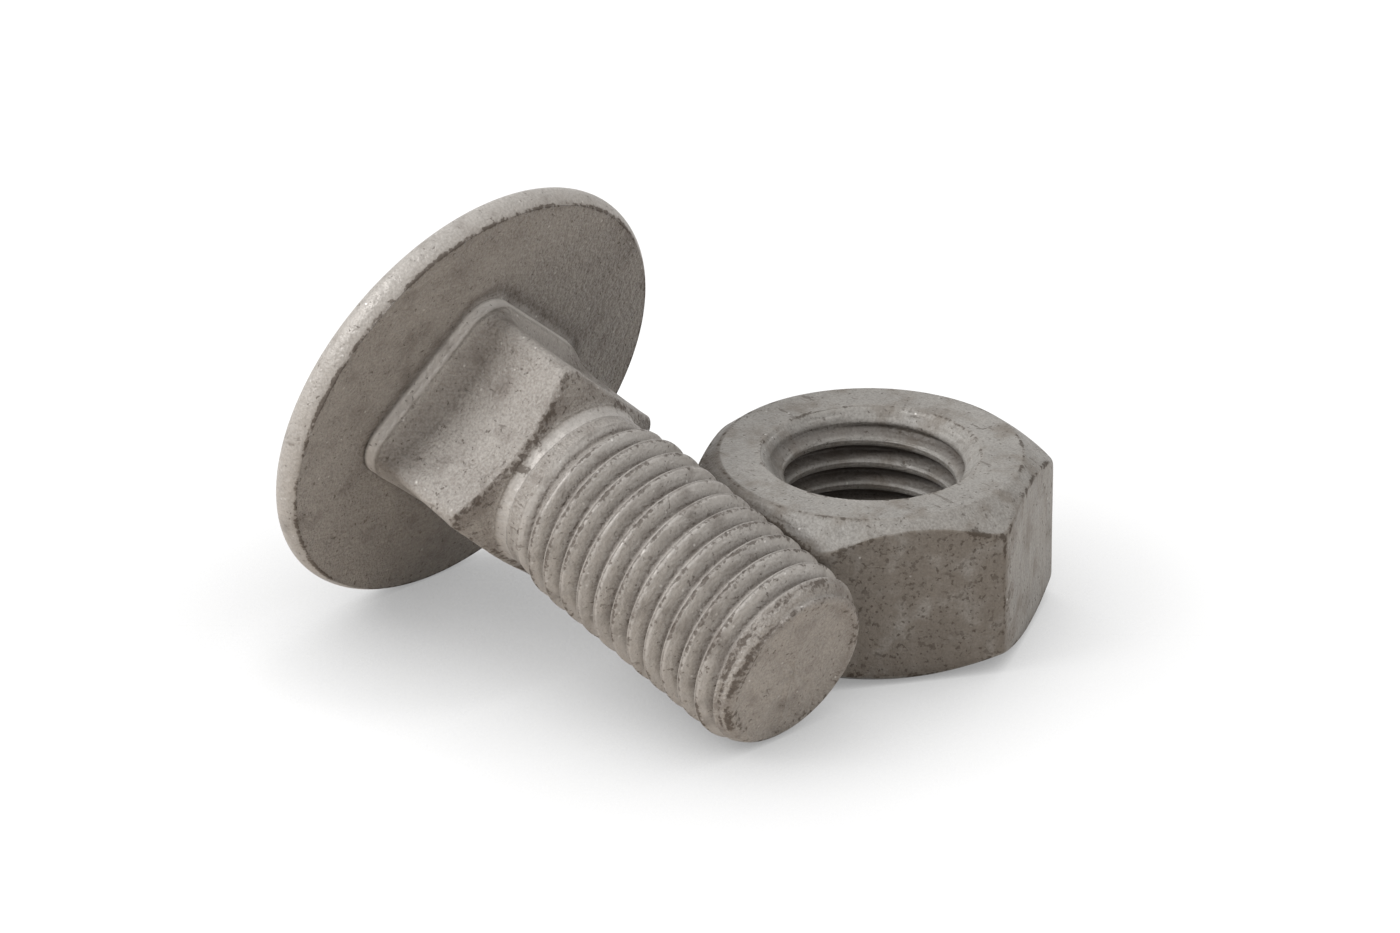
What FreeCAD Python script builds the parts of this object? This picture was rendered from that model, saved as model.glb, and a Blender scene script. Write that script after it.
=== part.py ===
import FreeCAD, Part
import math
import os

from FreeCAD import Placement, Rotation, Vector

# A galvanised carriage bolt and its heavy hexagon nut, lying side by side on a flat surface.
# Lengths are in millimetres and angles in degrees.
# Each piece is modelled upright on its own thread axis.
# The bolt has the underside of its head at height 0 and its tip at the top.
# The nut has its lower bearing face at height 0.
# Both are then laid out, with the origin at the middle of the base of the set.

# Thread
thread_d = 16.0
pitch = 2.0
flank_deg = 60.0
crest_land = 0.5
nut_thread_depth = 1.08
zinc_play = 0.12

# Head: flat underneath, with a low dome and a rim that is rounded off in narrow bevels
head_d = 38.6
underside_d = 37.4
rim_drop = 1.37
rim_round = 1.2
front_bevels = 2
back_bevels = 2
dome_edge_deg = 26.0

# Square neck: hollow faces, a soft pad round its foot and a turned shoulder
neck_w = 16.3
neck_corner_r = 1.7
neck_corner_end = 10.4
neck_hollow = 0.35
neck_turn = 4.0
pad_margin = 0.8
pad_h = 0.6
pad_chamfer = 0.4
shoulder_deg = 26.0
shoulder_round = 1.6
shoulder_bevels = 2

# Shank, thread and point
bolt_length = 39.3
shank_d = 14.6
plain_shank = 0.3
run_out = 1.9
point_length = 2.2
point_d = 13.4
lip_chamfer = 0.3
bolt_thread_turn = 221.0

# Nut
nut_width = 27.1
nut_h = 14.4
bearing_face_d = 25.0
top_chamfer_deg = 38.0
base_chamfer_deg = 30.0
countersink_d = 18.0
countersink_deg = 90.0

# How the two lie: the bolt's thread runs along one flat of the nut
side_gap = 0.3
head_to_nut_axis = 24.0

# Worked out from the sizes above
UP = Vector(0, 0, 1)
EMBED = 1.0
thread_r = thread_d / 2
flank_slope = math.tan(math.radians(flank_deg / 2))
bolt_root_r = thread_r - (pitch - crest_land) / (2 * flank_slope)
nut_bore_r = thread_r - nut_thread_depth + zinc_play
cutter_reach = 0.3 * crest_land / flank_slope
rim_r = head_d / 2
underside_r = underside_d / 2
shank_r = shank_d / 2
point_start = bolt_length - point_length
neck_corner_reach = neck_w / math.sqrt(2) - neck_corner_r * (math.sqrt(2) - 1)
shoulder_slope = math.tan(math.radians(shoulder_deg))
shoulder_foot = neck_corner_end + (neck_corner_reach - shank_r) * shoulder_slope
shoulder_tangent = shoulder_round * math.tan(math.radians(90 - shoulder_deg) / 2)
run_out_start = shoulder_foot + shoulder_tangent + plain_shank
thread_start = run_out_start + run_out
rim_front_r = (rim_drop ** 2 + (rim_r - underside_r) ** 2) / (2 * (rim_r - underside_r))


def at(radius, height):
    """A point of an upright outline."""
    return Vector(radius, 0, height)


def rounded(centre, radius, start_deg, end_deg, bevels):
    """Corners of a round in an upright outline, as so many narrow bevels. Angles start outwards."""
    turns = [math.radians(start_deg + (end_deg - start_deg) * k / bevels) for k in range(bevels + 1)]
    return [centre + radius * at(math.cos(turn), math.sin(turn)) for turn in turns]


def turned(edges):
    """Solid of revolution about the upright axis, from the edges of a closed outline."""
    return Part.Face(Part.Wire(edges)).revolve(Vector(0, 0, 0), UP, 360)


def turned_polygon(corners):
    return turned(Part.makePolygon(corners + corners[:1]).Edges)


def rounded_square(width, corner_r, low, high):
    """Upright square bar with rounded corners, one of them turned away from straight up."""
    bar = Part.makeBox(width, width, high - low, Vector(-width / 2, -width / 2, low))
    corners = [edge for edge in bar.Edges if abs(edge.tangentAt(edge.FirstParameter).z) > 0.5]
    bar = bar.makeFillet(corner_r, corners)
    bar.rotate(Vector(0, 0, 0), UP, 45 + neck_turn)
    return bar


# Bolt

def rim_front():
    """Corners of the rim from its widest place forward to the underside."""
    centre = at(rim_r - rim_front_r, -rim_drop)
    edge_deg = math.degrees(math.asin(rim_drop / rim_front_r))
    return rounded(centre, rim_front_r, 0, edge_deg, front_bevels)


def head():
    """Rim turned from bevels, with the cap of a sphere on its back."""
    back = rounded(at(rim_r - rim_round, -rim_drop), rim_round, dome_edge_deg - 90, 0, back_bevels)
    edge = back[0]
    rim = turned_polygon([at(0, edge.z)] + back + rim_front()[1:] + [at(0, 0)])
    dome_edge = math.radians(dome_edge_deg)
    dome_r = edge.x / math.sin(dome_edge)
    crown = dome_r * (1 - math.cos(dome_edge))
    sphere = Part.makeSphere(dome_r, at(0, edge.z + dome_r - crown), Vector(0, 1, 0))
    dome = sphere.common(Part.makeCylinder(rim_r, crown + EMBED, at(0, edge.z - crown - EMBED)))
    return rim.fuse(dome)


def foot_pad():
    """Soft raised pad that the neck grows out of."""
    pad = rounded_square(neck_w + 2 * pad_margin, neck_corner_r + pad_margin, -EMBED, pad_h)
    rim = [edge for edge in pad.Edges if edge.BoundBox.ZMin > pad_h - 0.01]
    return pad.makeChamfer(min(pad_chamfer, 0.8 * pad_h), rim)


def stem():
    """Neck, shoulder, shank and point, turned from one bar that is then squared at the neck."""
    shoulder_centre = at(shank_r + shoulder_round, shoulder_foot + shoulder_tangent)
    shoulder = rounded(shoulder_centre, shoulder_round, 270 - shoulder_deg, 180, shoulder_bevels)
    bar_r = neck_corner_reach + EMBED
    point_r = point_d / 2
    lip_r = point_r + (thread_r - point_r) * lip_chamfer / point_length
    bar = turned_polygon([
        at(0, -EMBED),
        at(bar_r, -EMBED),
        at(bar_r, neck_corner_end - EMBED * shoulder_slope),
    ] + shoulder + [
        at(shank_r, run_out_start),
        at(thread_r, thread_start),
        at(thread_r, point_start),
        at(lip_r, bolt_length - lip_chamfer),
        at(point_r - lip_chamfer, bolt_length),
        at(0, bolt_length),
    ])
    high = shoulder_centre.z + EMBED
    waste = Part.makeCylinder(2 * bar_r, high, at(0, -EMBED))
    return bar.cut(waste.cut(rounded_square(neck_w, neck_corner_r, -2 * EMBED, high)))


def neck_hollows():
    """Long barrels that leave each face of the neck slightly hollow along the bolt."""
    low = pad_h
    high = neck_corner_end + (neck_corner_reach - neck_w / 2) * shoulder_slope
    barrel_r = (high - low) ** 2 / (8 * neck_hollow) + neck_hollow / 2
    barrels = []
    for face in range(4):
        place = Vector(neck_w / 2 - neck_hollow + barrel_r, -neck_w, (low + high) / 2)
        barrel = Part.makeCylinder(barrel_r, 2 * neck_w, place, Vector(0, 1, 0))
        barrel.rotate(Vector(0, 0, 0), UP, 45 + neck_turn + 90 * face)
        barrels.append(barrel)
    return barrels


def bolt_groove():
    """The thread's helical groove, which grows shallower towards the shank until it runs out."""
    turns = math.ceil((point_start - run_out_start) / pitch) + 1
    low = point_start - turns * pitch
    high = bolt_length + pitch
    lip_r = thread_r + cutter_reach
    lip = (lip_r - bolt_root_r) * flank_slope
    section = Part.makePolygon([at(bolt_root_r, 0), at(lip_r, -lip), at(lip_r, lip), at(bolt_root_r, 0)])
    helix = Part.Wire(Part.makeLongHelix(pitch, high - low, thread_r, 0).Edges)
    groove = helix.makePipeShell([section], True, True)
    groove.Placement = Placement(Vector(0, 0, low), Rotation(UP, bolt_thread_turn))
    fade = (shank_r - bolt_root_r) / run_out
    inner_r = bolt_root_r - fade * run_out
    allowed = turned_polygon([
        at(shank_r, run_out_start),
        at(thread_r + EMBED, run_out_start),
        at(thread_r + EMBED, high + pitch),
        at(inner_r, high + pitch),
        at(inner_r, thread_start + run_out),
    ])
    return groove.common(allowed)


def bolt():
    body = stem().cut(bolt_groove())
    body = body.cut(neck_hollows())
    return body.fuse([foot_pad(), head()]).removeSplitter()


# Nut

def hexagon():
    corner_r = nut_width / math.sqrt(3)
    corners = [Vector(corner_r * math.cos(math.radians(60 * k)), corner_r * math.sin(math.radians(60 * k)), 0)
               for k in range(6)]
    return Part.Face(Part.makePolygon(corners + corners[:1])).extrude(Vector(0, 0, nut_h))


def nut_blank():
    """Two cones, base to base, that chamfer the corners of the hexagon."""
    face_r = bearing_face_d / 2
    top_slope = math.tan(math.radians(top_chamfer_deg))
    base_slope = math.tan(math.radians(base_chamfer_deg))
    widest = nut_h / (top_slope + base_slope)
    waist = at(face_r + widest, widest * base_slope)
    return turned_polygon([at(0, 0), at(face_r, 0), waist, at(face_r, nut_h), at(0, nut_h)])


def countersinks():
    mouth_r = countersink_d / 2
    depth = mouth_r / math.tan(math.radians(countersink_deg / 2))
    base = Part.makeCone(mouth_r, 0, depth)
    top = Part.makeCone(0, mouth_r, depth, at(0, nut_h - depth))
    return [base, top]


def nut():
    """Chamfered at both ends and bored to the crests of its thread."""
    body = hexagon().common(nut_blank())
    body = body.cut(Part.makeCylinder(nut_bore_r, nut_h + 2 * EMBED, at(0, -EMBED)))
    return body.cut(countersinks())


# Laying out

def lay_angle():
    """Slope of the bolt's axis when it lies on the rim of its head and the end of its thread."""
    return max(math.atan2(corner.x - thread_r, point_start - corner.z) for corner in rim_front())


def laid_bolt(shape):
    slope = lay_angle()
    height = thread_r * math.cos(slope) + point_start * math.sin(slope)
    place = Vector(-head_to_nut_axis, -(nut_width / 2 + side_gap + thread_r), height)
    laid = shape.copy()
    laid.Placement = Placement(place, Rotation(Vector(0, 1, 0), 90 + math.degrees(slope)))
    return laid


os.makedirs("parts", exist_ok=True)
pieces = {"bolt": laid_bolt(bolt()), "nut": nut()}
box = Part.makeCompound(list(pieces.values())).optimalBoundingBox(False, False)
base_middle = Vector(box.Center.x, box.Center.y, box.ZMin)
for name, shape in pieces.items():
    solid = shape.Solids[0]
    solid.translate(-base_middle)
    solid.exportStep("parts/" + name + ".step")
    print(name, "valid", solid.isValid(), "solids", len(shape.Solids), "volume", round(solid.Volume, 2))
print("slope", round(math.degrees(lay_angle()), 3), "base middle", base_middle)
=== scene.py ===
"""Looks of a galvanised carriage bolt lying beside its heavy hexagon nut, on a pale floor."""

import logging
import math
from dataclasses import dataclass, field
from enum import IntEnum
from typing import Any

import bpy
import numpy as np
from mathutils import Matrix, Vector


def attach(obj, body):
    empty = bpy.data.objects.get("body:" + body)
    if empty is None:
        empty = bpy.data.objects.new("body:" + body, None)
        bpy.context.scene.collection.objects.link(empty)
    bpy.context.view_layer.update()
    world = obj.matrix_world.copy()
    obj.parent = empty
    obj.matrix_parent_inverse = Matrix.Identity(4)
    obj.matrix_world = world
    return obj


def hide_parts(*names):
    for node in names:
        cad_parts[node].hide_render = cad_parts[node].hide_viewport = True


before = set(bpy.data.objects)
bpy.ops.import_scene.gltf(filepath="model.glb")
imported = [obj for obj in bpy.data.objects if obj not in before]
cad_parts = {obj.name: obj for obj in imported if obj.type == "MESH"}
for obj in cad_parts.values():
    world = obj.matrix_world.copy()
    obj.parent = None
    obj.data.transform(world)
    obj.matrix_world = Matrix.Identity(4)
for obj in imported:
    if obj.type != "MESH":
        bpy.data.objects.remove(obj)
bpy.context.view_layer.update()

MM = 0.001
FULL_TURN = 2 * math.pi
QUARTER_TURN = math.pi / 2
SIXTH_TURN = math.pi / 3
MEET = 2e-7
# Marks that the finish reads: shade is painted shade, bright is zinc worn bright together with painted
# light, worn and dirt are real wear and dirt.
NO_MARKS = {"worn": 0.0, "shade": 0.0, "bright": 0.0, "dirt": 0.1}
log = logging.getLogger("bolt_and_nut")

Field = np.ndarray | float
Masks = dict[str, Field]
Triple = tuple[float, float, float]
Socket = bpy.types.NodeSocket | float


class BoltPart(IntEnum):
    """Part of the bolt that a row of its skin lies on, from the dome to the tip."""

    HEAD = 0
    UNDERSIDE = 1
    LIP = 2
    NECK = 3
    THREAD = 4
    POINT = 5
    END = 6


class NutPart(IntEnum):
    """Part of the nut that a row of its skin lies on, in the order of its outline."""

    LOWER_SINK = 0
    BASE_RING = 1
    BASE_CHAMFER = 2
    SIDE = 3
    TOP_CHAMFER = 4
    TOP_RING = 5
    UPPER_SINK = 6
    BORE = 7


NUT_WALLS = (NutPart.BASE_CHAMFER, NutPart.SIDE, NutPart.TOP_CHAMFER)
NUT_INSIDE = (NutPart.LOWER_SINK, NutPart.UPPER_SINK, NutPart.BORE)


# Numeric helpers

def soft_min(a: Field, b: Field, width: float) -> np.ndarray:
    """Smaller of two fields with a rounded meeting.

    Args:
        a: First field.
        b: Second field.
        width: Size of the round, in the fields' own unit.

    Returns:
        The blended field.
    """
    share = np.clip(0.5 + 0.5 * (b - a) / width, 0, 1)
    return b + (a - b) * share - width * share * (1 - share)


def soft_max(a: Field, b: Field, width: float) -> np.ndarray:
    """Larger of two fields with a rounded meeting, as soft_min does."""
    return -soft_min(-a, -b, width)


def smooth(x: Field) -> Field:
    """Smooth step from 0 at 0 to 1 at 1."""
    x = np.clip(x, 0, 1)
    return x * x * (3 - 2 * x)


def ramp(value: Field, start: float, length: float) -> Field:
    """Smooth step from 0 at the start to 1 a length further on."""
    return smooth((value - start) / length)


def near(distance: Field, width: float) -> Field:
    """How close a distance is to nothing, from 1 at 0 down to 0 some widths away."""
    return np.exp(-(distance / width) ** 2)


def fold(value: Field, period: float) -> Field:
    """Signed distance from the nearest whole multiple of a period."""
    return (value + period / 2) % period - period / 2


class Unevenness:
    """Seeded sum of plane waves in space, about one deep at its highest."""

    def __init__(self, seed: int, size_mm: float, waves: int = 24) -> None:
        """Draws the waves.

        Args:
            seed: Seed of the draws.
            size_mm: Usual length of a wave.
            waves: How many waves are added up.
        """
        random = np.random.default_rng(seed)
        turn = random.normal(size=(waves, 3))
        turn /= np.linalg.norm(turn, axis=1)[:, None]
        self.steps = turn * (FULL_TURN / size_mm) * random.uniform(0.55, 1.5, (waves, 1))
        self.starts = random.uniform(0, FULL_TURN, waves)

    def at(self, points: np.ndarray) -> np.ndarray:
        """Height of the unevenness at each point.

        Args:
            points: Places in millimetres, with x, y and z last.

        Returns:
            One value for each point.
        """
        total = np.zeros(points.shape[:-1])
        for step, start in zip(self.steps, self.starts):
            total += np.sin(points @ step + start)
        return total / math.sqrt(2 * len(self.starts))


def rounded_square_reach(turn: np.ndarray, half: float, corner: np.ndarray) -> np.ndarray:
    """Reach from the middle of a rounded square to its edge.

    Args:
        turn: Azimuth from the middle of a face, in radians.
        half: Half its width.
        corner: Radius of its corners.

    Returns:
        The reach at each azimuth.
    """
    across = np.abs(fold(turn, QUARTER_TURN))
    centre = half - corner
    along_way = centre * (np.cos(across) + np.sin(across))
    beside_way = centre * (np.cos(across) - np.sin(across))
    arc = along_way + np.sqrt(np.maximum(corner ** 2 - beside_way ** 2, 0))
    return np.where(half * np.tan(across) > centre, arc, half / np.cos(across))


def crowded(columns: int, corners: list[float], share: float, width: float) -> np.ndarray:
    """Azimuths of a ring's columns, crowded at its corners.

    Args:
        columns: How many columns the ring has.
        corners: Azimuths of the corners, in radians.
        share: Part of the columns that goes to the corners.
        width: How far a corner's crowd spreads, in radians.

    Returns:
        Azimuths from 0 to a full turn, with the first place repeated at the end.
    """
    fine = np.linspace(0, FULL_TURN, 7201)
    crowd = sum(np.exp(-0.5 * (fold(fine - corner, FULL_TURN) / width) ** 2) for corner in corners)
    weight = (1 - share) / FULL_TURN + share * crowd / (crowd.mean() * FULL_TURN)
    total = np.concatenate([[0], np.cumsum((weight[1:] + weight[:-1]) / 2 * np.diff(fine))])
    return np.interp(np.linspace(0, total[-1], columns + 1), total, fine)


def stretch(start: float, end: float, rows: int) -> np.ndarray:
    """Evenly spaced places from a step past the start to the end."""
    return np.linspace(start, end, rows + 1)[1:]


def ring_points(reach: np.ndarray, height: np.ndarray, turns: np.ndarray) -> np.ndarray:
    """Places of a grid round an upright axis, from its reach, height and azimuths."""
    return np.stack([reach * np.cos(turns), reach * np.sin(turns), height], axis=-1)


def outward(points: np.ndarray) -> np.ndarray:
    """Unit way out from the upright axis at each point, as x and y."""
    return points[..., :2] / np.maximum(np.linalg.norm(points[..., :2], axis=-1), 1e-6)[..., None]


def by_part(parts: np.ndarray, values: dict[int, float]) -> np.ndarray:
    """Column of one value a row, chosen by the row's part.

    Args:
        parts: Part of each row.
        values: Value of each part. Parts that it leaves out get 0.

    Returns:
        The column, ready to be set against a grid.
    """
    column = np.zeros(len(parts))
    for part, value in values.items():
        column[parts == part] = value
    return column[:, None]


def rounded_path(
    path: list[tuple[np.ndarray, np.ndarray, Field]], counts: tuple[int, ...],
) -> tuple[np.ndarray, np.ndarray, np.ndarray]:
    """Rows along a path whose corners are rounded.

    Args:
        path: Reach, height and corner size of each corner, for every column.
        counts: Rows on each stretch between two corners.

    Returns:
        Reach, height and stretch of every row.
    """
    spots = [np.stack([reach, height], axis=-1) for reach, height, _ in path]
    rows, parts = [], []
    for index, count in enumerate(counts):
        start, end = spots[index], spots[index + 1]
        long = np.linalg.norm(end - start, axis=-1, keepdims=True)
        unit = (end - start) / long
        first = start + unit * np.minimum(path[index][2], 0.45 * long)
        last = end - unit * np.minimum(path[index + 1][2], 0.45 * long)
        way = [first + (last - first) * step for step in np.linspace(0, 1, count)]
        if index + 1 < len(counts):
            after = spots[index + 2] - end
            after_long = np.linalg.norm(after, axis=-1, keepdims=True)
            out = end + after / after_long * np.minimum(path[index + 1][2], 0.45 * after_long)
            way += [(1 - step) ** 2 * last + 2 * step * (1 - step) * end + step ** 2 * out
                    for step in (0.2, 0.4, 0.6, 0.8)]
        rows += way
        parts += [index] * len(way)
    return np.array(rows)[..., 0], np.array(rows)[..., 1], np.array(parts)


# Mesh helpers

def wrapped_mesh(name: str, points: np.ndarray, masks: Masks) -> bpy.types.Object:
    """Sheet of squares bent into a closed skin.

    Args:
        name: Name of the object.
        points: Places in metres, as rows, columns and x, y, z. Its last column repeats the
            first, and its end rows either meet or shrink to a pole.
        masks: Values for each place that the finish reads, by name.

    Returns:
        The object, at the origin.
    """
    rows, columns = points.shape[:2]
    bpy.ops.object.select_all(action="DESELECT")
    bpy.ops.mesh.primitive_grid_add(x_subdivisions=columns - 1, y_subdivisions=rows - 1, size=1)
    made = bpy.context.object
    made.name = name
    made.data.name = name
    made.data.vertices.foreach_set("co", points.reshape(-1).astype(np.float32))
    made.data.update()
    for mask, values in masks.items():
        kept = made.data.attributes.new(mask, "FLOAT", "POINT")
        spread = np.broadcast_to(values, (rows, columns))
        kept.data.foreach_set("value", spread.reshape(-1).astype(np.float32))
    bpy.ops.object.mode_set(mode="EDIT")
    bpy.ops.mesh.select_all(action="SELECT")
    bpy.ops.mesh.remove_doubles(threshold=MEET)
    bpy.ops.mesh.select_all(action="SELECT")
    bpy.ops.mesh.normals_make_consistent(inside=False)
    bpy.ops.object.mode_set(mode="OBJECT")
    bpy.ops.object.shade_smooth()
    while made.data.uv_layers:
        made.data.uv_layers.remove(made.data.uv_layers[0])
    log.info("%s: %d faces", name, len(made.data.polygons))
    return made


@dataclass
class Rows:
    """Rows of an upright skin, as they are added."""

    turns: np.ndarray
    kept: list[list[np.ndarray]] = field(default_factory=list)

    def add(self, reach: Field, height: Field, part: int, **masks: Field) -> None:
        """Adds a row.

        Args:
            reach: Distance from the axis, at each azimuth or all round.
            height: Height, at each azimuth or all round.
            part: Part that the row lies on.
            masks: Values that the finish reads, where they differ from no marks.
        """
        values = (reach, height, part, *(NO_MARKS | masks).values())
        self.kept.append([np.broadcast_to(value, self.turns.shape) for value in values])

    def skin(self) -> tuple[np.ndarray, np.ndarray, Masks]:
        """Places in millimetres, each row's part, and the masks."""
        reach, height, parts, *masks = np.array(self.kept).transpose(1, 0, 2)
        return ring_points(reach, height, self.turns), parts[:, 0], dict(zip(NO_MARKS, masks))


# Pieces

@dataclass
class Thread:
    """Right-hand metric thread, with flanks that meet at 60 degrees."""

    radius: float = 8.0
    pitch: float = 2.0
    land: float = 0.4
    depth: float = 1.22
    crest_soft: float = 0.12
    root_soft: float = 0.4
    crest_turn: float = 0.0
    crest_at: float = 0.0

    def from_crest(self, turns: np.ndarray, height: Field) -> np.ndarray:
        """Distance along the axis from the nearest crest, above 0 past it."""
        lead = self.pitch * (turns - self.crest_turn) / FULL_TURN
        return fold(height - self.crest_at - lead, self.pitch)

    def below_crest(self, turns: np.ndarray, height: Field) -> np.ndarray:
        """Depth under the crests.

        Args:
            turns: Azimuths.
            height: Heights along the axis.

        Returns:
            A number from minus the thread's depth to about 0, with rounded crests and roots.
        """
        flank = (self.land / 2 - np.abs(self.from_crest(turns, height))) * math.sqrt(3)
        return soft_max(soft_min(flank, 0.0, self.crest_soft), -self.depth, self.root_soft)


@dataclass
class Bolt:
    """Carriage bolt, upright with the underside of its head at height 0, then laid in its place."""

    columns: int = 240
    corner_crowd: float = 0.3
    corner_spread: float = 0.16
    dome_rows: int = 25
    rim_rows: int = 10
    underside_rows: int = 19
    lip_rows: int = 7
    neck_rows: int = 55
    thread_rows: int = 225
    point_rows: int = 17
    tip_rows: int = 7
    end_rows: int = 25
    head_r: float = 19.3
    underside_r: float = 18.7
    rim_drop: float = 1.37
    rim_front_r: float = 1.864
    rim_back_r: float = 1.2
    dome_edge: float = math.radians(26)
    crease: float = 0.1
    crease_reach: float = 0.12
    neck_half: float = 8.15
    corner_radii: tuple[float, ...] = (0.7, 1.9, 1.7, 1.5)
    usual_corner_r: float = 1.7
    corner_end: float = 10.4
    hollow: float = 1.0
    hollow_rise: float = 2.5
    hollow_past_corner: float = 0.9
    hollow_share: float = 0.96
    neck_turn: float = math.radians(5)
    pad_margin: float = 0.55
    pad_h: float = 0.85
    pad_softer: float = 1.6
    pad_fade: float = 1.9
    shoulder: float = math.radians(26)
    shoulder_r: float = 1.3
    neck_soft: float = 0.75
    chip_depth: float = 0.25
    shank_r: float = 7.3
    thread_low: float = 13.2
    crest_rise: float = 4.2
    root_fall: float = 2.0
    point_start: float = 37.3
    point_r: float = 6.95
    point_soft: float = 0.3
    point_reach: float = 1.2
    length: float = 39.3
    tip_r: float = 0.4
    tip_dish: float = 0.22
    lean: float = 0.58
    lean_way: tuple[float, float] = (0.727, -0.688)
    thread: Thread = field(default_factory=lambda: Thread(crest_turn=math.pi, crest_at=37.87))
    forged_wide: Unevenness = field(default_factory=lambda: Unevenness(11, 9.0))
    forged_fine: Unevenness = field(default_factory=lambda: Unevenness(12, 1.5, 40))
    chips: Unevenness = field(default_factory=lambda: Unevenness(13, 1.3, 40))
    cropped: Unevenness = field(default_factory=lambda: Unevenness(14, 11.0))
    crop_depth: float = 0.12
    slope: float = math.radians(16.458)
    foot: Triple = (-15.7166, -8.05, 18.1829)

    def head_outline(self) -> tuple[np.ndarray, np.ndarray]:
        """Outline of the head from its crown round the rim to its underside.

        Returns:
            The reach and the height of each of its places.
        """
        turn = np.linspace(self.dome_edge - QUARTER_TURN, 0, self.rim_rows + 1)
        rim_x = self.head_r - self.rim_back_r + self.rim_back_r * np.cos(turn)
        rim_z = -self.rim_drop + self.rim_back_r * np.sin(turn)
        dome_r = rim_x[0] / math.sin(self.dome_edge)
        part = np.linspace(0.004, self.dome_edge, self.dome_rows + 1)[:-1]
        dome_x = dome_r * np.sin(part)
        dome_z = rim_z[0] + dome_r * (math.cos(self.dome_edge) - np.cos(part))
        turn = stretch(0, math.asin(self.rim_drop / self.rim_front_r), self.rim_rows)
        front_x = self.head_r - self.rim_front_r + self.rim_front_r * np.cos(turn)
        front_z = -self.rim_drop + self.rim_front_r * np.sin(turn)
        return np.concatenate([dome_x, rim_x, front_x]), np.concatenate([dome_z, rim_z, front_z])

    def square(self, turns: np.ndarray, grown: float, softer: float) -> np.ndarray:
        """Reach of the neck's rounded square.

        Args:
            turns: Azimuths.
            grown: How far its faces stand out.
            softer: How much larger the corners' rounds are than at the neck's end.

        Returns:
            The reach at each azimuth.
        """
        from_corner = (turns - self.neck_turn + QUARTER_TURN / 2) % FULL_TURN
        corner = (from_corner // QUARTER_TURN).astype(int)
        radii = np.array(self.corner_radii)[corner] + softer
        face_turns = turns - self.neck_turn - QUARTER_TURN / 2
        return rounded_square_reach(face_turns, self.neck_half + grown, radii)

    def lip_foot(self, turns: np.ndarray) -> np.ndarray:
        """Reach of the crease between the head's underside and the lip round the neck."""
        return self.square(turns, self.pad_margin + self.crease_reach, self.pad_softer)

    def neck_square(self, turns: np.ndarray, height: float) -> np.ndarray:
        """Reach of the neck: a soft lip at the head, then faces that are hollow in their middle.

        Args:
            turns: Azimuths.
            height: Height of the row.

        Returns:
            The reach at each azimuth.
        """
        lip = 1 - ramp(height, self.pad_h, self.pad_fade)
        square = self.square(turns, self.pad_margin * lip, self.pad_softer * lip)
        deepest = self.pad_h + self.hollow_rise
        if height < deepest:
            sunk = ramp(height, self.pad_h, self.hollow_rise)
        else:
            end = self.corner_end + self.hollow_past_corner
            sunk = max(0.0, 1 - ((height - deepest) / (end - deepest)) ** 2)
        across = np.abs(fold(turns - self.neck_turn - QUARTER_TURN / 2, QUARTER_TURN))
        middle = 1 - np.minimum(np.tan(across) / self.hollow_share, 1) ** 3
        return square - self.hollow * sunk * middle

    def shoulder_foot(self) -> float:
        """Height where the shoulder's slope would meet the shank."""
        reach = self.neck_half * math.sqrt(2) - self.usual_corner_r * (math.sqrt(2) - 1)
        return self.corner_end + (reach - self.shank_r) * math.tan(self.shoulder)

    def bar_reach(self, height: float) -> float:
        """Reach of the shoulder and shank, which a round joins.

        Args:
            height: Height of the row.

        Returns:
            The reach, the same all round.
        """
        tangent = self.shoulder_r * math.tan((QUARTER_TURN - self.shoulder) / 2)
        foot = self.shoulder_foot()
        if height < foot - tangent * math.sin(self.shoulder):
            return self.shank_r + (foot - height) / math.tan(self.shoulder)
        if height > foot + tangent:
            return self.shank_r
        rise = foot + tangent - height
        return self.shank_r + self.shoulder_r - math.sqrt(self.shoulder_r ** 2 - rise ** 2)

    def stem_heights(self) -> np.ndarray:
        """Heights of the rows from the pad to the tip.

        Returns:
            The heights, closest where the thread is.
        """
        neck = stretch(self.pad_h, self.thread_low, self.neck_rows)
        thread = stretch(self.thread_low, self.point_start, self.thread_rows)
        point = stretch(self.point_start, self.length - self.tip_r, self.point_rows)
        tip = self.length - self.tip_r * (1 - np.sin(stretch(0, QUARTER_TURN, self.tip_rows)))
        return np.concatenate([neck, thread, point, tip])

    def neck_row(self, turns: np.ndarray, height: float) -> tuple[np.ndarray, Masks]:
        """One row of the neck and the shoulder.

        Args:
            turns: Azimuths.
            height: Height of the row.

        Returns:
            The reach at each azimuth, and the masks: worn and chipped where the square ends,
            dirty on the shoulder, painted light on the lip and the fillet, painted shade in the valley
            between.
        """
        square = self.neck_square(turns, height)
        bar = np.full_like(turns, self.bar_reach(height))
        chips = self.chip_depth * self.chips.at(ring_points(square, np.full_like(turns, height), turns))
        foot = self.shoulder_foot()
        on_shoulder = ramp(square - bar, 0, 0.6) * (1 - ramp(height, foot - 0.7, 0.9))
        # The lip and the fillet get painted light through the bright mark, the valley painted shade.
        on_fillet = ramp(height, foot - 0.25, 0.3)
        in_valley = ramp(height, 1.3, 0.7) * (1 - ramp(height, 2.6, 3.0))
        return soft_min(square, bar + 0.2 * chips, self.neck_soft), {
            "worn": 0.9 * near(bar - square + chips + 0.25, 0.85) * (height > self.pad_h + 2),
            "dirt": 0.1 + 0.45 * on_shoulder - 0.1 * on_fillet,
            "bright": 1.6 * near(height - self.pad_h + 0.1, 0.55) + on_fillet,
            "shade": 0.25 * in_valley,
        }

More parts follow.
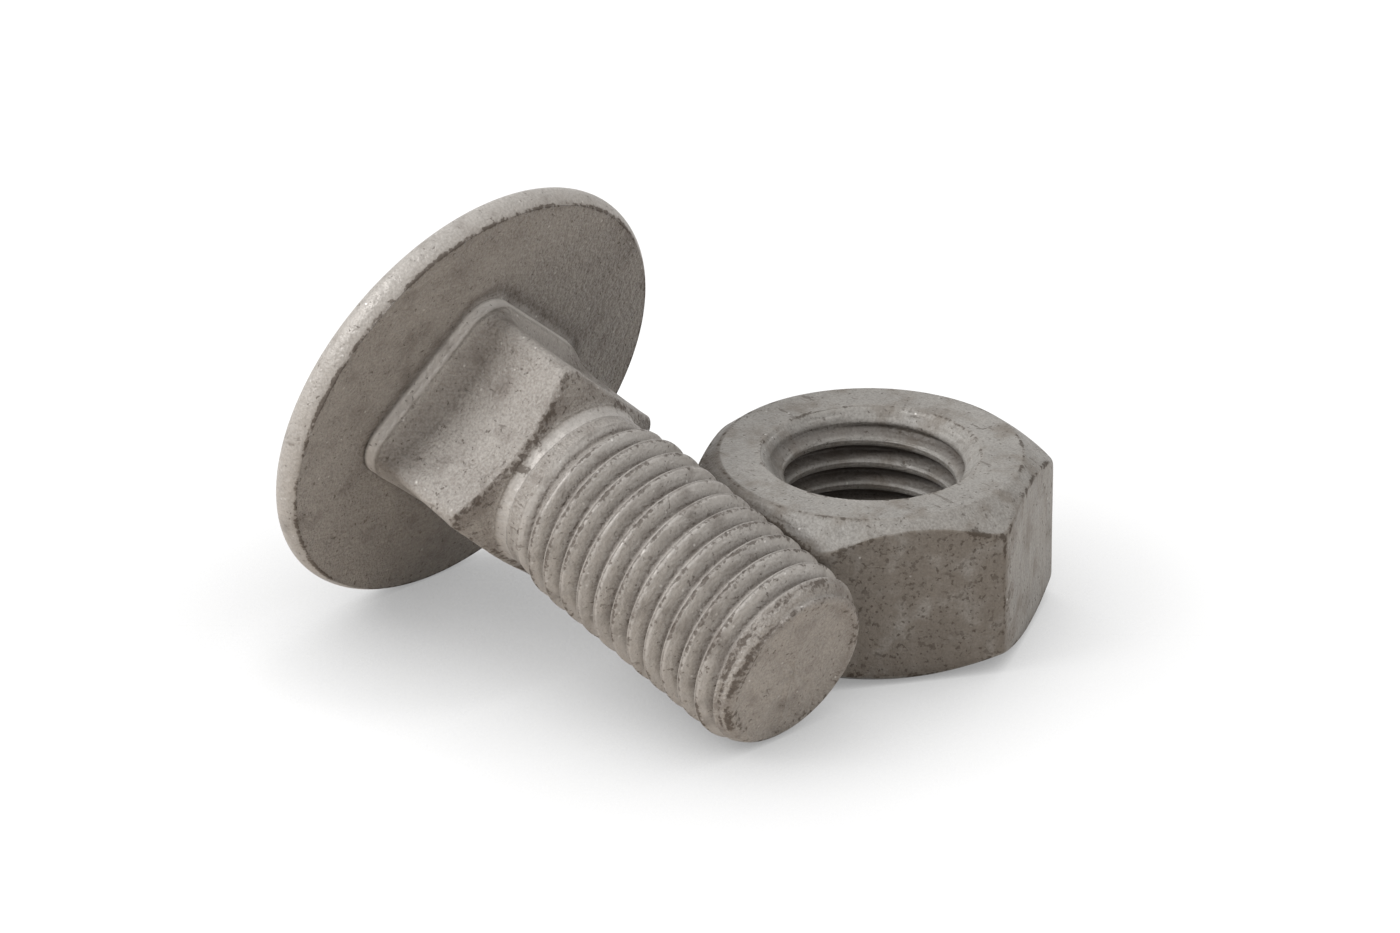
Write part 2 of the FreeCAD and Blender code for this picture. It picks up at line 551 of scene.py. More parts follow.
    def thread_reach(self, turns: np.ndarray, height: float) -> np.ndarray:
        """Reach of the shank, thread and point at one height.

        Args:
            turns: Azimuths.
            height: Height of the row.

        Returns:
            The reach at each azimuth.
        """
        low, thread = self.thread_low, self.thread
        root_r = thread.radius - thread.depth
        crest = self.shank_r + (thread.radius - self.shank_r) * ramp(height, low + 0.1, self.crest_rise)
        root = self.shank_r + (root_r - self.shank_r) * ramp(height, low + 0.2, self.root_fall)
        reach = crest + thread.below_crest(turns, height) / thread.depth * (crest - root)
        past = height - self.point_start
        if past > -self.point_reach:
            narrowing = (self.point_r - thread.radius) / (self.length - self.point_start)
            reach = soft_min(reach, thread.radius + narrowing * past, self.point_soft)
        lip = self.length - height
        if lip < self.tip_r:
            rounded = math.sqrt(max(0.0, 1 - (1 - lip / self.tip_r) ** 2))
            reach = reach - self.tip_r * (1 - rounded)
        return reach

    def thread_masks(self, turns: np.ndarray, height: float) -> Masks:
        """Masks of the shank, thread and point at one height.

        Args:
            turns: Azimuths.
            height: Height of the row.

        Returns:
            The masks: specks on the crests and round the tip, a painted highlight on the crests and
            painted light on the flanks that face the tip, and painted shade in the roots.
        """
        off = self.thread.from_crest(turns, height)
        to_root = fold(off - 0.9, self.thread.pitch)
        grown = ramp(height, self.thread_low + 0.4, 1.2)
        begun = ramp(height, self.thread_low + 0.1, 0.5)
        worn = 0.95 * near(off - 0.1, 0.2) * grown
        # Painted highlight on the crests, and painted light on the flanks that face the tip.
        bright = (0.65 * near(off - 0.08, 0.18) + 1.15 * near(off - 0.45, 0.34)) * grown
        # Painted shade in the roots.
        shade = 0.8 * near(to_root, 0.22) * begun
        past = height - self.point_start
        if past > -self.point_reach:
            upper = smooth(0.5 - 0.8 * np.cos(turns))
            worn = np.maximum(worn, 0.82 * near(past - 0.8, 0.5) * upper)
            bright = bright * (1 - 0.8 * smooth(past + 0.2))
            shade = shade * smooth(0.5 - past)
        lip = self.length - height
        if lip < self.tip_r:
            worn = np.maximum(worn, near(lip - 0.2, 0.25))
        return {"worn": worn, "bright": bright, "shade": shade}

    def add_head(self, rows: Rows) -> None:
        """Adds the dome and the rim, lighter in front as zinc worn bright with a painted highlight, and a
        line of specks at its edge.

        Args:
            rows: The skin's rows so far.
        """
        for reach, height in zip(*self.head_outline()):
            edge = math.hypot(reach - self.underside_r, height)
            # The rim's bright mark is zinc worn bright together with a painted highlight.
            rows.add(reach, height, BoltPart.HEAD, worn=1.1 * near(edge - 0.05, 0.26),
                     bright=0.82 * ramp(reach, self.underside_r - 1.5, 0.8), dirt=0.0)

    def add_underside(self, rows: Rows) -> None:
        """Adds the flat underside, under painted shade that deepens into the crease round the lip.

        Args:
            rows: The skin's rows so far.
        """
        inner = self.lip_foot(rows.turns)
        for step in (0.006, 0.02, *stretch(0, 1, self.underside_rows)):
            reach = self.underside_r + (inner - self.underside_r) * step
            # Painted shade: a little over the whole underside, deep in the crease round the lip.
            rows.add(reach, -self.crease * ramp(step, 0.8, 0.2), BoltPart.UNDERSIDE,
                     worn=near(self.underside_r - reach, 0.22),
                     shade=0.18 + 0.62 * ramp(step, 0.86, 0.14))

    def add_lip(self, rows: Rows) -> None:
        """Adds the lip that rises from the crease to the foot of the neck, with painted shade at its foot
        and painted light above.

        Args:
            rows: The skin's rows so far.
        """
        inner = self.lip_foot(rows.turns)
        outer = self.square(rows.turns, self.pad_margin, self.pad_softer)
        for step in stretch(0, 1, self.lip_rows):
            reach = inner + (outer - inner) * math.sin(step * QUARTER_TURN)
            clear = ramp(step, 0, 0.45)
            # Painted shade low in the crease, painted light on the lip above it.
            rows.add(reach, step * (self.pad_h + self.crease) - self.crease, BoltPart.LIP,
                     shade=0.8 * (1 - clear), bright=1.6 * clear)

    def add_stem(self, rows: Rows) -> None:
        """Adds the neck, the shoulder, the thread and the point.

        Args:
            rows: The skin's rows so far.
        """
        for height in self.stem_heights():
            if height < self.thread_low:
                reach, masks = self.neck_row(rows.turns, height)
                rows.add(reach, height, BoltPart.NECK, **masks)
            else:
                part = BoltPart.POINT if height > self.point_start else BoltPart.THREAD
                reach = self.thread_reach(rows.turns, height)
                rows.add(reach, height, part, **self.thread_masks(rows.turns, height))

    def add_end(self, rows: Rows) -> None:
        """Adds the slightly dished end face, from the tip's rim to its middle.

        Args:
            rows: The skin's rows so far.
        """
        rim = rows.kept[-1][0]
        uneven = self.chips.at(ring_points(rim, np.full_like(rim, 5.0), rows.turns / 3))
        for step in stretch(0, 1, self.end_rows)[:-1]:
            dished = (self.tip_dish + 0.1 * uneven) * ramp(rim * step, 0.1, 0.7)
            rows.add(rim * (1 - step), self.length - dished, BoltPart.END,
                     worn=0.75 * near(rim * step - 0.3, 0.5))
        rows.add(0.01, self.length - self.tip_dish, BoltPart.END)

    def skin(self) -> tuple[np.ndarray, np.ndarray, Masks]:
        """Lays out the upright skin, from the dome to the tip.

        Returns:
            Places in millimetres, each row's part, and the masks.
        """
        corners = [self.neck_turn + k * QUARTER_TURN for k in range(4)]
        rows = Rows(crowded(self.columns, corners, self.corner_crowd, self.corner_spread))
        for add in (self.add_head, self.add_underside, self.add_lip, self.add_stem, self.add_end):
            add(rows)
        return rows.skin()

    def forge(self, points: np.ndarray, parts: np.ndarray) -> None:
        """Gives the skin the unevenness of a forging, and the stem its slight lean.

        Args:
            points: Places of the upright skin, which are moved.
            parts: Part of each row.
        """
        wide, fine = self.forged_wide.at(points), self.forged_fine.at(points)
        neck, thread, point = BoltPart.NECK, BoltPart.THREAD, BoltPart.POINT
        rough = by_part(parts, {neck: 0.05, thread: 0.015, point: 0.03}) * wide
        rough += by_part(parts, {neck: 0.012, thread: 0.008, point: 0.012}) * fine
        points[..., :2] += outward(points) * rough[..., None]
        points[..., 2] += by_part(parts, {BoltPart.UNDERSIDE: 0.04, BoltPart.END: 0.03}) * wide
        end = ramp(points[..., 2], self.point_start, self.length - self.point_start)
        points[..., 2] -= end * np.maximum(0, self.crop_depth * self.cropped.at(points))
        away = self.lean * (1 - points[..., 2] / self.length) * (parts >= BoltPart.LIP)[:, None]
        points[..., :2] += away[..., None] * np.array(self.lean_way)

    def lay(self, points: np.ndarray) -> np.ndarray:
        """Turns upright places into the bolt's place on the floor."""
        turn = Matrix.Rotation(QUARTER_TURN + self.slope, 3, "Y")
        return points @ np.array(turn).T + np.array(self.foot)

    def build(self) -> bpy.types.Object:
        """Meshes the bolt in its place.

        Returns:
            The object, at the origin.
        """
        points, parts, masks = self.skin()
        self.forge(points, parts)
        points[:, -1] = points[:, 0]
        points[0] = points[0].mean(axis=0)
        points[-1] = points[-1].mean(axis=0)
        return wrapped_mesh("bolt_body", self.lay(points) * MM, masks)


@dataclass
class NutGrid:
    """Upright grid of the nut's skin, and where its hexagon lies."""

    reach: np.ndarray
    height: np.ndarray
    turns: np.ndarray
    parts: np.ndarray
    outer: np.ndarray
    low: np.ndarray
    top: np.ndarray

    def on(self, *parts: NutPart) -> np.ndarray:
        """Column that says which rows lie on some parts."""
        return np.isin(self.parts, parts)[:, None]


@dataclass
class Nut:
    """Heavy hexagon nut, lying on its bearing face."""

    columns: int = 264
    corner_crowd: float = 0.25
    corner_spread: float = 0.06
    rows_by_part: tuple[int, ...] = (8, 10, 10, 30, 12, 14, 10)
    bore_rows: int = 149
    half_flat: float = 13.55
    corner_r: float = 0.6
    height: float = 14.4
    face_r: float = 12.5
    top_chamfer: float = math.radians(38)
    base_chamfer: float = math.radians(30)
    sink_r: float = 9.0
    bore_r: float = 7.04
    thread_play: float = 0.12
    middle: tuple[float, float] = (8.2834, 13.8)
    thread: Thread = field(default_factory=lambda: Thread(
        crest_turn=math.radians(136.4), crest_at=11.0, land=0.25, depth=1.16, root_soft=0.1))
    forged: Unevenness = field(default_factory=lambda: Unevenness(21, 8.0))
    forged_depth: float = 0.02
    chips: Unevenness = field(default_factory=lambda: Unevenness(22, 1.2, 40))

    def hexagon_reach(self, turns: np.ndarray) -> np.ndarray:
        """Reach from the axis to the nut's rounded hexagon.

        Args:
            turns: Azimuths.

        Returns:
            The reach at each azimuth.
        """
        flat = self.half_flat / np.cos(fold(turns - SIXTH_TURN / 2, SIXTH_TURN))
        sharp = 1 / math.cos(SIXTH_TURN / 2)
        corner = self.half_flat * sharp - self.corner_r * (sharp - 1)
        return soft_min(flat, corner, self.corner_r * 0.8)

    def grid(self) -> NutGrid:
        """Lays out the skin, from the lower countersink round the sides and down the bore.

        Returns:
            The grid, with a plain bore.
        """
        corners = [k * SIXTH_TURN for k in range(6)]
        turns = crowded(self.columns, corners, self.corner_crowd, self.corner_spread)
        outer = self.hexagon_reach(turns)
        top = self.height - (outer - self.face_r) * math.tan(self.top_chamfer)
        low = (outer - self.face_r) * math.tan(self.base_chamfer)
        sink = self.sink_r - self.bore_r
        flat = np.ones_like(turns)
        corner_soft = (0.14 + 0.45 * near(fold(turns, SIXTH_TURN), 0.09))[:, None]
        path = [
            (flat * self.bore_r, flat * sink, 0.0),
            (flat * self.sink_r, flat * 0, 0.1),
            (flat * self.face_r, flat * 0, 0.3),
            (outer, low, 0.2),
            (outer, top, corner_soft),
            (flat * self.face_r, flat * self.height, 0.3),
            (flat * self.sink_r, flat * self.height, 0.1),
            (flat * self.bore_r, flat * (self.height - sink), 0.0),
        ]
        reach, height, parts = rounded_path(path, self.rows_by_part)
        bore = stretch(self.height - sink, sink, self.bore_rows)[:-1]
        reach = np.concatenate([reach, np.full((len(bore), len(turns)), self.bore_r)])
        height = np.concatenate([height, np.repeat(bore[:, None], len(turns), 1)])
        parts = np.concatenate([parts, np.full(len(bore), NutPart.BORE)])
        return NutGrid(reach, height, turns, parts, outer, low, top)

    def masks(self, grid: NutGrid) -> Masks:
        """Masks for the finish.

        Args:
            grid: The skin's grid, with a plain bore.

        Returns:
            How worn each place is, at the nut's edges; painted shade in its thread, at its foot, a little
            on its top ring and, with some sooty dirt, towards the bolt; a painted highlight on the thread's
            crests; the mouth bright; how dirty.
        """
        reach, height, turns = grid.reach, grid.height, grid.turns
        chips = 0.15 * self.chips.at(ring_points(reach, height, turns))
        side = grid.on(NutPart.SIDE)
        walls = grid.on(*NUT_WALLS)
        inside = grid.on(*NUT_INSIDE)
        to_end = np.minimum(np.abs(height - grid.top), np.abs(height - grid.low))
        to_rim = np.hypot(reach - grid.outer, to_end) + chips
        to_corner = np.abs(reach * np.sin(fold(turns, SIXTH_TURN))) + chips
        to_mouth = np.hypot(reach - self.sink_r, np.minimum(height, self.height - height)) + chips
        to_ring = np.hypot(reach - self.face_r, self.height - height)
        worn = np.maximum.reduce([
            0.95 * near(to_rim, 0.36) * walls, near(to_corner, 0.24) * side,
            0.75 * near(to_mouth, 0.3), 0.85 * near(to_ring, 0.22)])

        # Painted shade in the bore, darker down the thread and deeper in, lighter on the crests, which get
        # a painted highlight.
        deep = smooth((self.sink_r - reach) / (self.sink_r - self.bore_r))
        under = -self.thread.below_crest(turns, height) / self.thread.depth
        buried = 0.35 + 0.3 * smooth((self.height - self.thread.pitch - height) / 5)
        crest = near(np.abs(self.thread.from_crest(turns, height)) - 0.76, 0.1) * inside
        groove_shade = inside * deep * (buried + (1 - buried) * smooth(1.1 - under)) * (1 - 0.75 * crest)

        # Painted shade, with some sooty dirt, on the side and chamfer turned towards the bolt and where
        # they near it.
        hidden = 0.75 * near(fold(turns + math.radians(125), FULL_TURN), 0.75)
        gap = 0.9 * ramp(-reach * np.sin(turns), self.half_flat - 1.2, 1.0)
        shade_by_bolt = np.maximum(hidden, gap) * grid.on(NutPart.SIDE, NutPart.TOP_CHAMFER)
        # Painted shade, darker towards the nut's foot.
        shade_at_foot = 0.8 * smooth(1 - height / 2.2) * walls
        shade = np.maximum.reduce([groove_shade, shade_by_bolt, shade_at_foot])
        # The top ring is darkened a little by the same painted shade.
        return {
            "worn": worn,
            "shade": np.maximum(shade, 0.1 * grid.on(NutPart.TOP_RING)),
            "bright": 0.5 * near(to_mouth, 0.2) + 0.8 * crest,
            "dirt": np.maximum(0.25, ramp(np.cos(turns + SIXTH_TURN / 2), 0.728, 0.13) * side),
        }

    def threaded(self, grid: NutGrid) -> np.ndarray:
        """Reach of the skin once the thread is cut, which runs out in the countersinks.

        Args:
            grid: The skin's grid, with a plain bore.

        Returns:
            The reach at each place.
        """
        groove = self.thread.radius + self.thread_play + self.thread.below_crest(grid.turns, grid.height)
        cut = soft_max(grid.reach, soft_max(self.bore_r, groove, 0.12), 0.1)
        return np.where(grid.on(*NUT_INSIDE), cut, grid.reach)

    def build(self) -> bpy.types.Object:
        """Meshes the nut in its place.

        Returns:
            The object, at the origin.
        """
        grid = self.grid()
        points = ring_points(self.threaded(grid), grid.height, grid.turns)
        uneven = self.forged_depth * self.forged.at(points)
        walls = grid.on(*NUT_WALLS)
        points[..., :2] += outward(points) * (uneven * walls)[..., None]
        points[..., 2] += uneven * grid.on(NutPart.TOP_RING)
        points[..., :2] += np.array(self.middle)
        points[:, -1] = points[:, 0]
        points = np.concatenate([points, points[:1]])
        masks = {name: np.concatenate([mask, mask[:1]]) for name, mask in self.masks(grid).items()}
        return wrapped_mesh("nut_body", points * MM, masks)


# Finishes

class Net:
    """Short way to add the nodes of one tree and to link them."""

    def __init__(self, tree: bpy.types.NodeTree) -> None:
        """Keeps the tree that the nodes go to."""
        self.tree = tree

    def add(self, kind: str, inputs: dict[str | int, Any], **settings: Any) -> bpy.types.Node:
        """Adds a node.

        Args:
            kind: The node's type, without ShaderNode.
            inputs: A value or a socket for each input that is set, by name or number.
            settings: The node's own properties.

        Returns:
            The node.
        """
        node = self.tree.nodes.new("ShaderNode" + kind)
        for name, value in settings.items():
            setattr(node, name, value)
        for key, value in inputs.items():
            if isinstance(value, bpy.types.NodeSocket):
                self.tree.links.new(value, node.inputs[key])
            else:
                node.inputs[key].default_value = value
        return node

    def noise(self, place: Socket, scale: float, detail: float = 2.0) -> Socket:
        """Cloudy noise of a given fineness."""
        return self.add("TexNoise", {"Vector": place, "Scale": scale, "Detail": detail}).outputs["Fac"]

    def stretched(self, place: Socket, scale: Triple, rotation: Triple = (0, 0, 0)) -> Socket:
        """Places scaled along each axis after a turn, for noise that runs in lines."""
        inputs = {"Vector": place, "Scale": scale, "Rotation": rotation}
        return self.add("Mapping", inputs).outputs["Vector"]

    def step(self, value: Socket, low: float, high: float) -> Socket:
        """Smooth step from 0 at the low value to 1 at the high one."""
        inputs = {"Value": value, "From Min": low, "From Max": high}
        return self.add("MapRange", inputs, interpolation_type="SMOOTHSTEP").outputs["Result"]

    def sum(self, *parts: Socket | tuple[Socket, float]) -> Socket:
        """Adds up sockets.

        Args:
            parts: The sockets, or pairs of a socket and its weight.

        Returns:
            Their sum.
        """
        total = 0.0
        for part in parts:
            value, weight = part if isinstance(part, tuple) else (part, 1.0)
            inputs = {0: value, 1: weight, 2: total}
            total = self.add("Math", inputs, operation="MULTIPLY_ADD").outputs[0]
        return total

    def product(self, a: Socket, b: Socket) -> Socket:
        """Product of two values."""
        return self.add("Math", {0: a, 1: b}, operation="MULTIPLY").outputs[0]

    def larger(self, a: Socket, b: Socket) -> Socket:
        """Larger of two values."""
        return self.add("Math", {0: a, 1: b}, operation="MAXIMUM").outputs[0]

    def shown(self) -> Socket:
        """1 for what the camera sees, also in metal or through glass, and 0 for what only lights."""
        ray = self.add("LightPath", {}).outputs
        reflected = self.larger(ray["Is Camera Ray"], ray["Is Glossy Ray"])
        return self.larger(reflected, ray["Is Transmission Ray"])

    def blend(self, share: Socket, a: Any, b: Any) -> Socket:
        """Colour between two colours."""
        return self.add("Mix", {"Factor": share, 6: a, 7: b}, data_type="RGBA").outputs[2]


class ZincSurface:
    """Node group with the mottling, grain, dark specks, glints, painted highlights and painted shade of
    matt hot-dip zinc.
    """

    INPUTS = {
        "Place": "Vector", "Worn": "Float", "Shade": "Float", "Bright": "Float", "Dirt": "Float",
        "Streaks": "Float", "Pale": "Color", "Dark": "Color", "Stain": "Color", "Soot_and_shade": "Color",
    }
    OUTPUTS = {"Colour": "Color", "Roughness": "Float", "Metallic": "Float", "Height": "Float"}
    RUBBED_AND_HIGHLIGHT = (0.8, 0.785, 0.76, 1)
    GLINT = (0.86, 0.84, 0.81, 1)

    def __init__(self) -> None:
        """Starts the group and lays in the noises that its layers share."""
        self.tree = bpy.data.node_groups.new("zinc_surface", "ShaderNodeTree")
        for side, sockets in (("INPUT", self.INPUTS), ("OUTPUT", self.OUTPUTS)):
            for label, kind in sockets.items():
                self.tree.interface.new_socket(label, in_out=side, socket_type="NodeSocket" + kind)
        self.net = Net(self.tree)
        self.given = self.tree.nodes.new("NodeGroupInput").outputs
        net, place = self.net, self.given["Place"]
        self.blotch = net.step(net.noise(place, 650, 3), 0.3, 0.7)
        self.grain = net.noise(place, 5000, 2)
        drawn = net.noise(net.stretched(place, (1700, 1700, 70)), 1, 2)
        self.streaked = net.product(self.given["Streaks"], net.step(drawn, 0.35, 0.65))
        turned = net.noise(net.stretched(place, (150, 150, 4200)), 1, 2)
        self.turned = net.product(self.given["Shade"], net.sum(turned, (1.0, -0.5)))
        self.calm = net.sum((net.step(self.given["Bright"], 0.2, 1.0), -0.6), (1.0, 1.0))

    def mottled(self) -> Socket:
        """Zinc between its dark and its pale tone, lifted by painted light and by zinc worn bright, then
        stained, then darkened by painted shade.

        Returns:
            The colour.
        """
        net, given = self.net, self.given
        wide = net.step(net.noise(given["Place"], 130, 3), 0.32, 0.68)
        # The bright mark lifts the tone: painted light on the lip, fillet, flanks and crests, and zinc worn
        # bright.
        tone = net.sum(
            (net.step(self.grain, 0.28, 0.72), 0.46), (1.0, 0.1),
            (net.product(wide, self.calm), 0.18), (net.product(self.blotch, self.calm), 0.16),
            (self.streaked, 0.5), (given["Streaks"], -0.25), (given["Bright"], 0.5), (self.turned, 2.2))
        colour = net.blend(tone, given["Dark"], given["Pale"])
        # Strong bright marks turn to a pale tone: painted highlight, and zinc worn bright.
        rubbed_and_highlight = net.step(given["Bright"], 0.75, 1.7)
        colour = net.blend(net.product(rubbed_and_highlight, 0.75), colour, self.RUBBED_AND_HIGHLIGHT)
        stain = net.sum(net.noise(given["Place"], 380, 5), (given["Dirt"], 0.28))
        colour = net.blend(net.product(net.step(stain, 0.52, 0.8), 0.6), colour, given["Stain"])
        # Painted shade: where the shade mark is high, the colour darkens towards the sooty dark tone.
        return net.blend(net.product(given["Shade"], 0.75), colour, given["Soot_and_shade"])

    def speckled(self, colour: Socket) -> tuple[Socket, Socket]:
        """Lays dark specks along worn edges, stray ones anywhere, and scratches.

        Args:
            colour: The colour below.

        Returns:
            The colour, and how dark each place is.
        """
        net, given = self.net, self.given
        place, worn, dirt = given["Place"], given["Worn"], given["Dirt"]
        coarse = net.noise(place, 950, 4)
        fine = net.noise(place, 2900, 3)
        patch = net.step(net.noise(place, 210, 2), 0.36, 0.62)
        edge = net.sum((net.product(worn, patch), 0.5), (worn, 0.5))
        specks = net.step(net.sum(edge, (coarse, 1.4), (fine, 1.7), (self.grain, 0.5)), 2.32, 2.75)
        stray = net.step(net.sum(fine, (coarse, 0.3), (dirt, 0.06)), 0.81, 0.88)
        skewed = net.noise(net.stretched(place, (380, 1500, 1500), (0.5, 0.4, 0.9)), 1, 3)
        scratch = net.step(net.sum(skewed, (dirt, 0.08)), 0.67, 0.74)
        dark = net.larger(specks, net.larger(net.product(stray, 0.8), net.product(scratch, 0.6)))
        colour = net.blend(net.product(edge, 0.28), colour, given["Stain"])
        return net.blend(net.product(dark, 0.72), colour, given["Soot_and_shade"]), dark

    def build(self) -> bpy.types.NodeTree:
        """Joins the layers.

        Returns:
            The group.
        """
        net, place = self.net, self.given["Place"]
        colour, dark = self.speckled(self.mottled())
        broken = net.sum((net.step(net.noise(place, 1100, 3), 0.4, 0.6), 0.6), (1.0, 0.4))
        bright = net.product(self.given["Bright"], broken)
        cells = net.add("TexVoronoi", {"Vector": place, "Scale": 1900.0})
        chosen = net.step(net.sum(cells.outputs["Color"], (bright, 0.12)), 0.86, 0.9)
        glint = net.product(chosen, net.step(cells.outputs["Distance"], 0.3, 0.1))
        gloss = net.sum((net.step(bright, 0.0, 1.0), 0.18), (glint, 0.3), (dark, -0.5))
        relief = net.sum(
            (net.noise(place, 2300, 2), 1.3), (self.grain, 0.5), (self.blotch, 0.25), (dark, -0.3),
            (glint, 0.1), (self.streaked, 0.2), (self.turned, 0.6))
        made = {
            "Colour": net.blend(net.product(glint, 0.45), colour, self.GLINT),
            "Roughness": net.sum((self.blotch, 0.12), (dark, 0.25), (gloss, -0.22), (self.grain, 0.1)),
            "Metallic": gloss,
            "Height": net.product(relief, self.calm),
        }
        out = self.tree.nodes.new("NodeGroupOutput")
        for label, value in made.items():
            self.tree.links.new(value, out.inputs[label])
        return self.tree


@dataclass(frozen=True)
class ZincFinish:
    """Matt hot-dip zinc, with its own tones, gloss and wear."""

    name: str
    pale: Triple
    dark: Triple
    stain: Triple
    # Dark tone of the specks, and of the painted shade that the shade mark lays.
    soot_and_shade: Triple
    roughness: float = 0.42
    metallic: float = 0.06
    streaks: float = 0.0
    relief: float = 0.00018

    def make(self, surface: bpy.types.NodeTree) -> bpy.types.Material:
        """Builds the material.

        Args:
            surface: The group that both finishes share.

        Returns:
            The material.
        """
        material = bpy.data.materials.new(self.name)
        material.use_nodes = True
        net = Net(material.node_tree)
        given = {"Place": net.add("TexCoord", {}).outputs["Object"], "Streaks": self.streaks}
        for label in ("Worn", "Shade", "Bright", "Dirt"):
            given[label] = net.add("Attribute", {}, attribute_name=label.lower()).outputs["Fac"]
        tones = {"Pale": self.pale, "Dark": self.dark, "Stain": self.stain, "Soot_and_shade": self.soot_and_shade}
        given |= {label: (*tone, 1) for label, tone in tones.items()}
        zinc = net.add("Group", given, node_tree=surface)
        rough = net.sum((zinc.outputs["Roughness"], 1.0), (1.0, self.roughness))
        bump = net.add("Bump", {"Height": zinc.outputs["Height"], "Distance": self.relief, "Strength": 1.0})
        gloss = {0: zinc.outputs["Metallic"], 1: self.metallic}
        metallic = net.add("Math", gloss, operation="ADD", use_clamp=True)
        shader = net.tree.nodes["Principled BSDF"]
        for label, value in (
            ("Base Color", zinc.outputs["Colour"]), ("Roughness", rough),
            ("Normal", bump.outputs["Normal"]), ("Metallic", metallic.outputs[0]),
        ):
            net.tree.links.new(value, shader.inputs[label])
        return material


# Setting

@dataclass(frozen=True)
class Softbox:
    """Square area light that looks at the pair."""

    name: str
    place: Triple
    size: float
    power: float

    def make(self, aim: Vector) -> None:
        """Adds the light.

        Args:
            aim: Point that it is turned towards.
        """
        bpy.ops.object.light_add(type="AREA", location=self.place)
        lamp = bpy.context.object
        lamp.name = self.name
        lamp.data.size = self.size
        lamp.data.energy = self.power
        lamp.rotation_mode = "QUATERNION"
        lamp.rotation_quaternion = (aim - Vector(self.place)).to_track_quat("-Z", "Y")


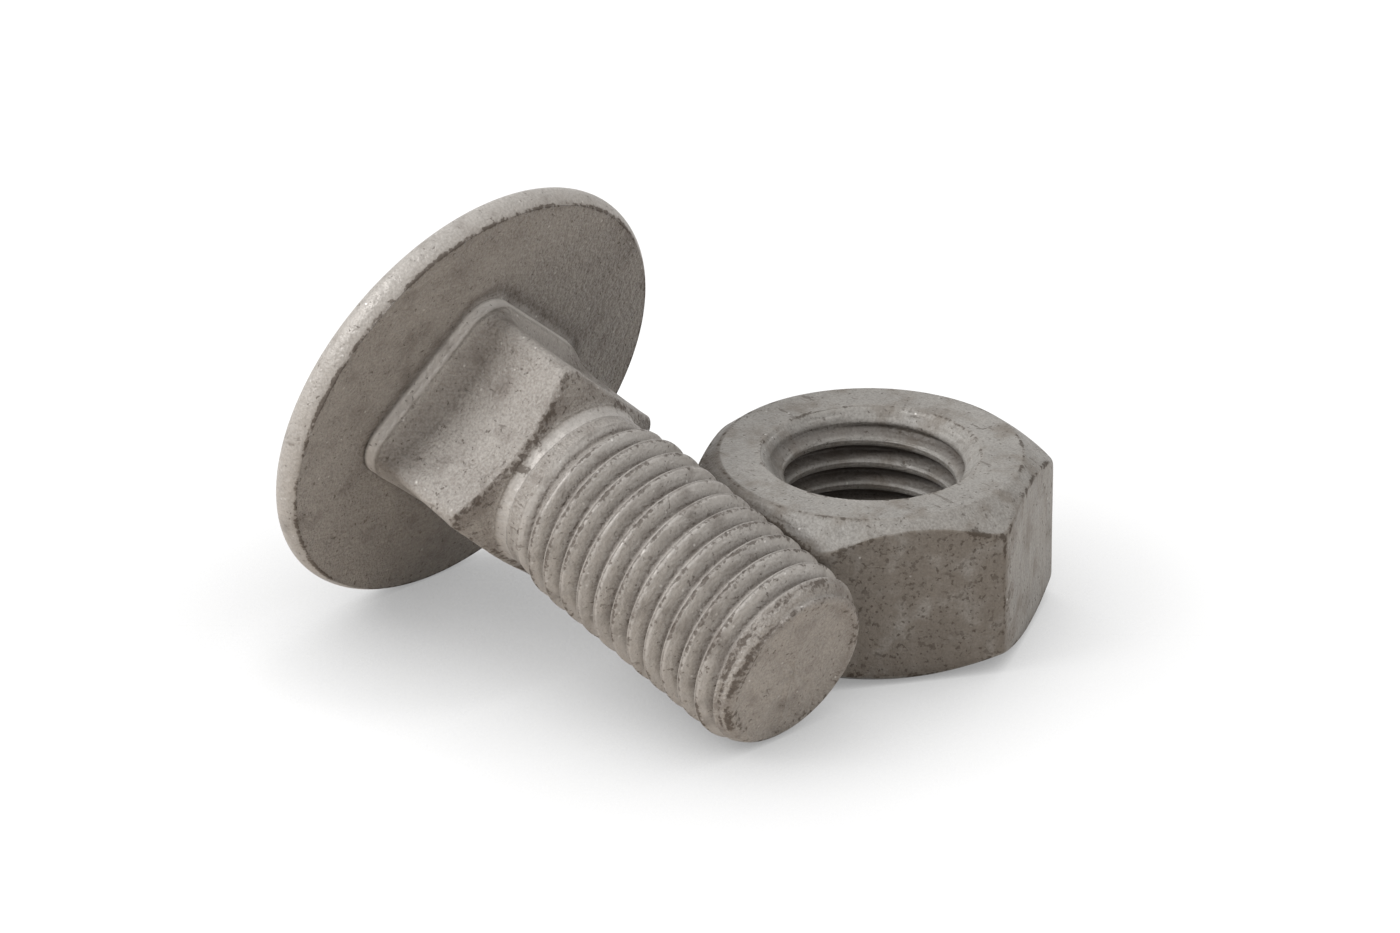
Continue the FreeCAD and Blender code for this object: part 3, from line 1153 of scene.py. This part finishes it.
@dataclass
class Studio:
    """White floor and surroundings, soft light from above, and the camera."""

    camera_place: Triple = (0.48793, -0.46407, 0.33534)
    camera_way: Triple = (-0.65258, 0.62403, -0.42979)
    lens: float = 236.81
    floor_size: float = 12.0
    horizon: float = 0.12
    zenith: float = 0.8
    paper_glow: float = 0.9
    shadow_reach: float = 0.02
    shadow_white: float = 0.27
    open_white: float = 0.8
    boxes: tuple[Softbox, ...] = (
        Softbox("key_light", (-0.39, -0.99, 0.98), 0.55, 14.5),
        Softbox("fill_light", (1.1, 0.8, 0.5), 0.9, 2.0),
    )

    def floor(self) -> None:
        """Adds the pale floor, whose glow holds painted soft shadows, and which throws back a warmer light.
        """
        bpy.ops.mesh.primitive_plane_add(size=self.floor_size, location=(0, 0, 0))
        floor = bpy.context.object
        floor.name = "floor"
        material = bpy.data.materials.new("paper")
        material.use_nodes = True
        net = Net(material.node_tree)
        shader = net.tree.nodes["Principled BSDF"]
        fibre = net.noise(net.add("TexCoord", {}).outputs["Object"], 700, 3)
        paper = net.blend(fibre, (0.92, 0.92, 0.92, 1), (0.95, 0.95, 0.95, 1))
        shown = net.shown()
        tone = net.blend(shown, (0.76, 0.68, 0.60, 1), paper)
        net.tree.links.new(tone, shader.inputs["Base Color"])
        shader.inputs["Roughness"].default_value = 1.0
        shader.inputs["Specular IOR Level"].default_value = 0.0
        # Painted shadow: where it is seen, the paper glows white, dimmed near the pieces by ambient
        # occlusion.
        open_sky = net.add("AmbientOcclusion", {"Distance": self.shadow_reach}, samples=4)
        level = net.sum((open_sky.outputs["AO"], self.open_white), (1.0, self.shadow_white))
        white = net.add("Emission", {"Color": (1, 1, 1, 1), "Strength": level})
        share = net.product(shown, self.paper_glow)
        mix = net.add("MixShader", {"Fac": share, 1: shader.outputs[0], 2: white.outputs[0]})
        out = net.tree.nodes["Material Output"]
        net.tree.links.new(mix.outputs[0], out.inputs["Surface"])
        floor.data.materials.append(material)

    def surroundings(self) -> None:
        """Adds a world that is white where it is seen, and a sky, bright overhead, where it lights."""
        world = bpy.data.worlds.new("surroundings")
        bpy.context.scene.world = world
        world.use_nodes = True
        world.node_tree.nodes.clear()
        net = Net(world.node_tree)
        way = net.add("TexCoord", {}).outputs["Generated"]
        rise = net.step(net.add("SeparateXYZ", {"Vector": way}).outputs["Z"], 0.0, 1.0)
        level = net.sum((rise, self.zenith - self.horizon), (1.0, self.horizon))
        tint = net.blend(rise, (1.0, 0.9, 0.82, 1), (1.0, 0.99, 0.98, 1))
        sky = net.add("Background", {"Color": tint, "Strength": level})
        seen = net.add("Background", {"Color": (1, 1, 1, 1), "Strength": 1.0})
        mix = net.add("MixShader", {"Fac": net.shown(), 1: sky.outputs[0], 2: seen.outputs[0]})
        net.add("OutputWorld", {"Surface": mix.outputs[0]})

    def camera(self) -> None:
        """Adds the camera where the photo was taken from."""
        bpy.ops.object.camera_add(location=self.camera_place)
        camera = bpy.context.object
        camera.name = "photo_camera"
        camera.rotation_mode = "QUATERNION"
        camera.rotation_quaternion = Vector(self.camera_way).to_track_quat("-Z", "Y")
        camera.data.sensor_width = 36
        camera.data.lens = self.lens
        camera.data.clip_start = 0.05
        camera.data.clip_end = 50
        bpy.context.scene.camera = camera

    def build(self) -> None:
        """Sets the whole stage."""
        self.floor()
        self.surroundings()
        for box in self.boxes:
            box.make(Vector((0, 0, 0.01)))
        self.camera()
        bpy.context.scene.view_settings.view_transform = "Standard"


def main() -> None:
    """Builds both pieces, their finishes and the stage."""
    logging.basicConfig(level=logging.INFO)
    surface = ZincSurface().build()
    bolt_zinc = ZincFinish(
        "bolt_zinc", pale=(0.48, 0.457, 0.43), dark=(0.245, 0.222, 0.20),
        stain=(0.165, 0.139, 0.12), soot_and_shade=(0.07, 0.053, 0.04))
    nut_zinc = ZincFinish(
        "nut_zinc", pale=(0.41, 0.395, 0.372), dark=(0.205, 0.194, 0.178),
        stain=(0.135, 0.107, 0.078), soot_and_shade=(0.05, 0.037, 0.027), streaks=0.35, relief=0.00008)
    for piece, node, finish in ((Bolt().build(), "bolt", bolt_zinc), (Nut().build(), "nut", nut_zinc)):
        piece.data.materials.append(finish.make(surface))
        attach(piece, "root")
        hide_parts(node)
    Studio().build()


if __name__ == "__main__":
    main()
